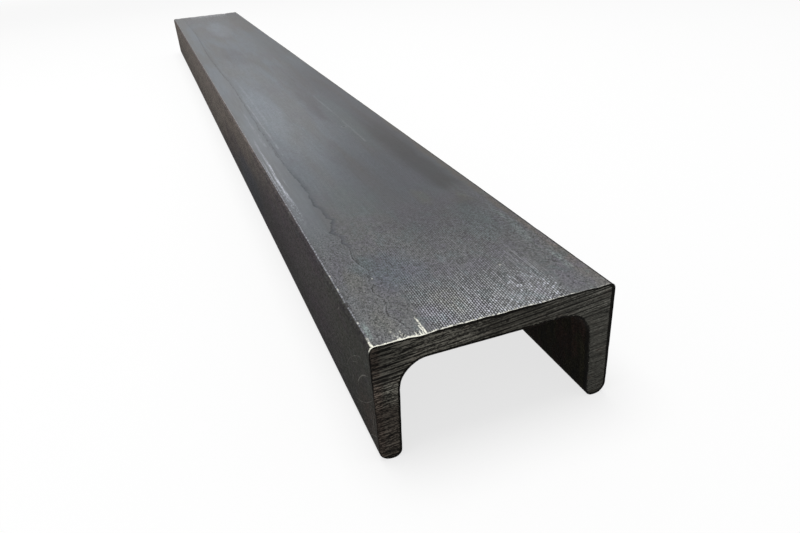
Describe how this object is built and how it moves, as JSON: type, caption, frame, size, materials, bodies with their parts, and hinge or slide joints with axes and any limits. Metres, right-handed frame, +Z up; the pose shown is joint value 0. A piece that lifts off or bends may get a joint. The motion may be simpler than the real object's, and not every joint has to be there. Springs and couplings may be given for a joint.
{
  "type": "steel channel",
  "caption": "Cut length of hot-rolled steel U channel with a flat web, slightly tapered flanges, rounded roots and toes and saw-cut ends.",
  "frame": {"origin": "on the floor under the middle of the channel, midway between the flanges and midway along the length", "axes": "+Y along the length, +X across the web, +Z up from the toes to the outside of the web"},
  "size_m": [0.05, 0.5, 0.0264],
  "materials": {
    "mill_scale_steel": "dark hot-rolled mill scale, unpainted, with bare saw-cut ends"
  },
  "bodies": {
    "root": {"channel": "mill_scale_steel"}
  },
  "joints": []
}
